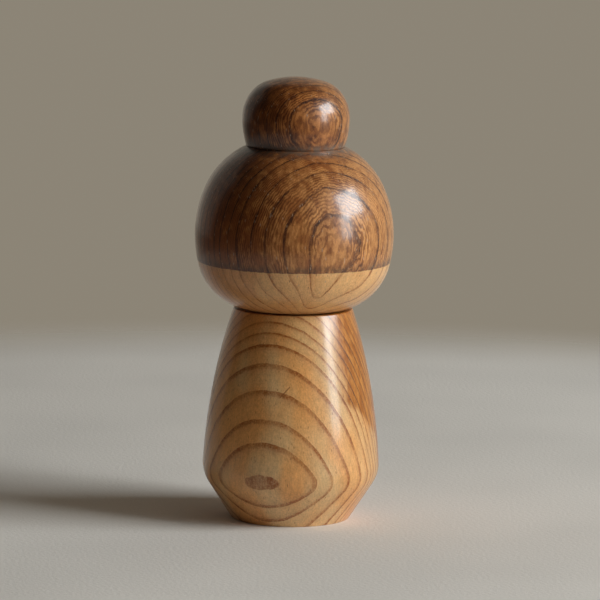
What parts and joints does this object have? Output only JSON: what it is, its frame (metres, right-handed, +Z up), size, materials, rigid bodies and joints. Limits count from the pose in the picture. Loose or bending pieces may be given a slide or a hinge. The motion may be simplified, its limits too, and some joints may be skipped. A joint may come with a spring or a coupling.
{
  "type": "kokeshi doll",
  "caption": "Turned wooden kokeshi doll: chamfered flared body, round two-tone head that turns on a hidden neck peg, and a low domed topknot.",
  "frame": {"origin": "centre of the foot, on the surface the doll stands on", "axes": "+Z up the turning axis, from foot to topknot; -Y towards the viewer's side and +X to the viewer's right"},
  "size_m": [0.0538, 0.0538, 0.12],
  "materials": {
    "body_wood": "clear semi-gloss wax or lacquer over pale ring-porous wood",
    "head_wood": "clear semi-gloss; brown hair stain above the hairline, bare wood below it",
    "topknot_wood": "brown hair stain under clear semi-gloss",
    "peg_wood": "bare turned hardwood, burnished where it runs"
  },
  "bodies": {
    "torso": {"body": "body_wood"},
    "turning_head": {"head": "head_wood", "topknot": "topknot_wood", "neck_peg": "peg_wood"}
  },
  "joints": [
    {"name": "head_turn", "type": "hinge", "parent": "torso", "child": "turning_head", "pos_m": [0, 0, 0.0574], "axis": [0, 0, 1], "continuous": true}
  ]
}
